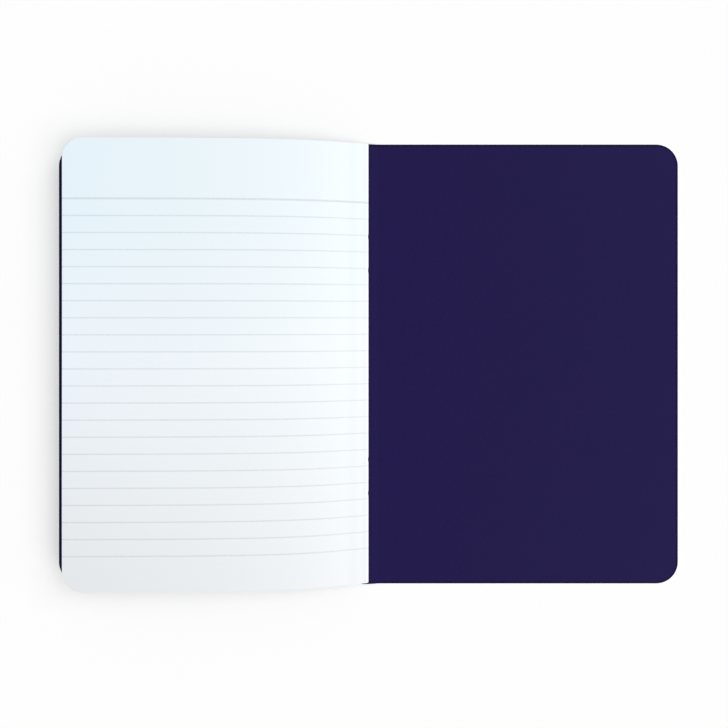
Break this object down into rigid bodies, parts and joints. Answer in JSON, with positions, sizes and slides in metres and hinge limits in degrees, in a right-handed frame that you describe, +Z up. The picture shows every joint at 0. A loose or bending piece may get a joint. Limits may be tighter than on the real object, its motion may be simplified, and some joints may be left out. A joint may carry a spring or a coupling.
{
  "type": "exercise book",
  "caption": "Saddle-stapled A5 exercise book with ruled leaves and a soft card cover, lying open; the leaves and the back cover turn about the spine.",
  "frame": {"origin": "on the table under the fold, halfway up the page, with the book lying open", "axes": "+X from the fold across the back cover, +Y up the page towards its head, +Z up from the table"},
  "size_m": [0.296, 0.21, 0.0108],
  "materials": {
    "cover_card": "matt navy card",
    "page_paper": "smooth white ruled paper",
    "staple_steel": "drawn wire"
  },
  "bodies": {
    "front": {"front_cover": "cover_card", "cover_spine": "cover_card", "sheet_fold_01": "page_paper", "sheet_fold_02": "page_paper", "sheet_fold_03": "page_paper", "sheet_fold_04": "page_paper", "sheet_fold_05": "page_paper", "sheet_fold_06": "page_paper", "sheet_fold_07": "page_paper", "sheet_fold_08": "page_paper", "sheet_fold_09": "page_paper", "sheet_fold_10": "page_paper", "sheet_fold_11": "page_paper", "sheet_fold_12": "page_paper", "staple_upper": "staple_steel", "staple_lower": "staple_steel"},
    "leaf_01": {"leaf_01": "page_paper"},
    "leaf_02": {"leaf_02": "page_paper"},
    "leaf_03": {"leaf_03": "page_paper"},
    "leaf_04": {"leaf_04": "page_paper"},
    "leaf_05": {"leaf_05": "page_paper"},
    "leaf_06": {"leaf_06": "page_paper"},
    "leaf_07": {"leaf_07": "page_paper"},
    "leaf_08": {"leaf_08": "page_paper"},
    "leaf_09": {"leaf_09": "page_paper"},
    "leaf_10": {"leaf_10": "page_paper"},
    "leaf_11": {"leaf_11": "page_paper"},
    "leaf_12": {"leaf_12": "page_paper"},
    "leaf_13": {"leaf_13": "page_paper"},
    "leaf_14": {"leaf_14": "page_paper"},
    "leaf_15": {"leaf_15": "page_paper"},
    "leaf_16": {"leaf_16": "page_paper"},
    "leaf_17": {"leaf_17": "page_paper"},
    "leaf_18": {"leaf_18": "page_paper"},
    "leaf_19": {"leaf_19": "page_paper"},
    "leaf_20": {"leaf_20": "page_paper"},
    "leaf_21": {"leaf_21": "page_paper"},
    "leaf_22": {"leaf_22": "page_paper"},
    "leaf_23": {"leaf_23": "page_paper"},
    "leaf_24": {"leaf_24": "page_paper"},
    "back": {"back_cover": "cover_card"}
  },
  "joints": [
    {"name": "leaf_01_turn", "type": "hinge", "parent": "front", "child": "leaf_01", "pos_m": [0, 0, 0.00558], "axis": [0, 1, 0], "range_deg": [0, 180]},
    {"name": "leaf_02_turn", "type": "hinge", "parent": "leaf_01", "child": "leaf_02", "pos_m": [0, 0, 0.00558], "axis": [0, 1, 0], "range_deg": [0, 180]},
    {"name": "leaf_03_turn", "type": "hinge", "parent": "leaf_02", "child": "leaf_03", "pos_m": [0, 0, 0.00558], "axis": [0, 1, 0], "range_deg": [0, 180]},
    {"name": "leaf_04_turn", "type": "hinge", "parent": "leaf_03", "child": "leaf_04", "pos_m": [0, 0, 0.00558], "axis": [0, 1, 0], "range_deg": [0, 180]},
    {"name": "leaf_05_turn", "type": "hinge", "parent": "leaf_04", "child": "leaf_05", "pos_m": [0, 0, 0.00558], "axis": [0, 1, 0], "range_deg": [0, 180]},
    {"name": "leaf_06_turn", "type": "hinge", "parent": "leaf_05", "child": "leaf_06", "pos_m": [0, 0, 0.00558], "axis": [0, 1, 0], "range_deg": [0, 180]},
    {"name": "leaf_07_turn", "type": "hinge", "parent": "leaf_06", "child": "leaf_07", "pos_m": [0, 0, 0.00558], "axis": [0, 1, 0], "range_deg": [0, 180]},
    {"name": "leaf_08_turn", "type": "hinge", "parent": "leaf_07", "child": "leaf_08", "pos_m": [0, 0, 0.00558], "axis": [0, 1, 0], "range_deg": [0, 180]},
    {"name": "leaf_09_turn", "type": "hinge", "parent": "leaf_08", "child": "leaf_09", "pos_m": [0, 0, 0.00558], "axis": [0, 1, 0], "range_deg": [0, 180]},
    {"name": "leaf_10_turn", "type": "hinge", "parent": "leaf_09", "child": "leaf_10", "pos_m": [0, 0, 0.00558], "axis": [0, 1, 0], "range_deg": [0, 180]},
    {"name": "leaf_11_turn", "type": "hinge", "parent": "leaf_10", "child": "leaf_11", "pos_m": [0, 0, 0.00558], "axis": [0, 1, 0], "range_deg": [0, 180]},
    {"name": "leaf_12_turn", "type": "hinge", "parent": "leaf_11", "child": "leaf_12", "pos_m": [0, 0, 0.00558], "axis": [0, 1, 0], "range_deg": [0, 180]},
    {"name": "leaf_13_turn", "type": "hinge", "parent": "leaf_12", "child": "leaf_13", "pos_m": [0, 0, 0.00558], "axis": [0, 1, 0], "range_deg": [0, 180]},
    {"name": "leaf_14_turn", "type": "hinge", "parent": "leaf_13", "child": "leaf_14", "pos_m": [0, 0, 0.00558], "axis": [0, 1, 0], "range_deg": [0, 180]},
    {"name": "leaf_15_turn", "type": "hinge", "parent": "leaf_14", "child": "leaf_15", "pos_m": [0, 0, 0.00558], "axis": [0, 1, 0], "range_deg": [0, 180]},
    {"name": "leaf_16_turn", "type": "hinge", "parent": "leaf_15", "child": "leaf_16", "pos_m": [0, 0, 0.00558], "axis": [0, 1, 0], "range_deg": [0, 180]},
    {"name": "leaf_17_turn", "type": "hinge", "parent": "leaf_16", "child": "leaf_17", "pos_m": [0, 0, 0.00558], "axis": [0, 1, 0], "range_deg": [0, 180]},
    {"name": "leaf_18_turn", "type": "hinge", "parent": "leaf_17", "child": "leaf_18", "pos_m": [0, 0, 0.00558], "axis": [0, 1, 0], "range_deg": [0, 180]},
    {"name": "leaf_19_turn", "type": "hinge", "parent": "leaf_18", "child": "leaf_19", "pos_m": [0, 0, 0.00558], "axis": [0, 1, 0], "range_deg": [0, 180]},
    {"name": "leaf_20_turn", "type": "hinge", "parent": "leaf_19", "child": "leaf_20", "pos_m": [0, 0, 0.00558], "axis": [0, 1, 0], "range_deg": [0, 180]},
    {"name": "leaf_21_turn", "type": "hinge", "parent": "leaf_20", "child": "leaf_21", "pos_m": [0, 0, 0.00558], "axis": [0, 1, 0], "range_deg": [0, 180]},
    {"name": "leaf_22_turn", "type": "hinge", "parent": "leaf_21", "child": "leaf_22", "pos_m": [0, 0, 0.00558], "axis": [0, 1, 0], "range_deg": [0, 180]},
    {"name": "leaf_23_turn", "type": "hinge", "parent": "leaf_22", "child": "leaf_23", "pos_m": [0, 0, 0.00558], "axis": [0, 1, 0], "range_deg": [0, 180]},
    {"name": "leaf_24_turn", "type": "hinge", "parent": "leaf_23", "child": "leaf_24", "pos_m": [0, 0, 0.00558], "axis": [0, 1, 0], "range_deg": [0, 180]},
    {"name": "back_cover_fold", "type": "hinge", "parent": "front", "child": "back", "pos_m": [0, 0, 0.00558], "axis": [0, -1, 0], "range_deg": [0, 179.9]}
  ]
}
